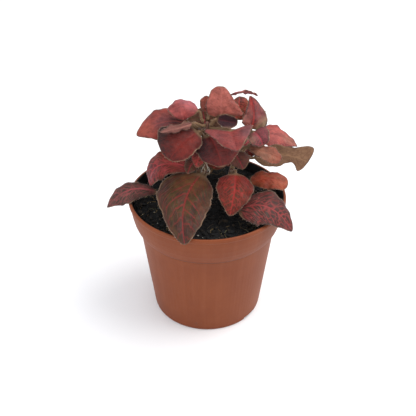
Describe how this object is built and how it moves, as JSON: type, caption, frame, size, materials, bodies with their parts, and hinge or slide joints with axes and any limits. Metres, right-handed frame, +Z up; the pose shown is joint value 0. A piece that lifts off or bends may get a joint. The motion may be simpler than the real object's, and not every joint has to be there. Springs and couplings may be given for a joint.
{
  "type": "potted nerve plant",
  "caption": "Small red-leaved creeping house plant with veined oval leaves, growing in soil in a round terracotta-coloured plastic nursery pot.",
  "frame": {"origin": "centre of the pot's round base, in the plane it stands on", "axes": "+Z up along the pot's axis, -Y towards the front, where the largest leaf hangs over the rim, +X to the right seen from the front"},
  "size_m": [0.115, 0.0945, 0.138],
  "materials": {
    "pot_plastic": "matte",
    "soil": "matte",
    "stem": "matte",
    "bronze_leaf": "matte",
    "red_leaf": "matte",
    "mauve_leaf": "matte",
    "coral_leaf": "matte",
    "crimson_leaf": "matte",
    "pink_leaf": "matte",
    "salmon_leaf": "matte",
    "purple_leaf": "matte"
  },
  "bodies": {
    "root": {"pot": "pot_plastic", "potting_soil": "soil", "main_stem": "stem", "right_stem": "stem", "back_stem": "stem", "leaf_front": "bronze_leaf", "leaf_front_right": "red_leaf", "leaf_low_right": "mauve_leaf", "leaf_right": "coral_leaf", "leaf_low_left": "mauve_leaf", "leaf_left": "red_leaf", "leaf_crown_left": "pink_leaf", "leaf_crown_top_left": "pink_leaf", "leaf_crown_front_left": "crimson_leaf", "leaf_crown_left_curled": "pink_leaf", "leaf_crown_top": "salmon_leaf", "leaf_crown_young": "purple_leaf", "leaf_bud": "purple_leaf", "leaf_crown_top_back": "salmon_leaf", "leaf_crown_middle": "bronze_leaf", "leaf_crown_back_right": "red_leaf", "leaf_crown_thin": "pink_leaf", "leaf_crown_right": "crimson_leaf", "leaf_far_right": "pink_leaf", "leaf_turned_right": "mauve_leaf", "leaf_small_right": "mauve_leaf", "leaf_mid_right": "salmon_leaf", "leaf_crown_front": "pink_leaf", "leaf_crown_under_right": "crimson_leaf", "leaf_crown_under": "red_leaf", "leaf_inner_left": "bronze_leaf", "leaf_shade_right": "bronze_leaf", "leaf_back_low": "bronze_leaf", "leaf_back_low_left": "mauve_leaf", "leaf_back_right": "red_leaf", "leaf_back_far_right": "crimson_leaf", "leaf_back_crown": "pink_leaf", "leaf_back_crown_left": "red_leaf", "leaf_back_crown_right": "crimson_leaf", "leaf_back_left": "pink_leaf", "leaf_back_mid_left": "crimson_leaf", "leaf_back_mid_right": "pink_leaf", "leaf_back_upper": "pink_leaf", "leaf_back_upper_right": "red_leaf", "leaf_back_low_right": "red_leaf"}
  },
  "joints": []
}
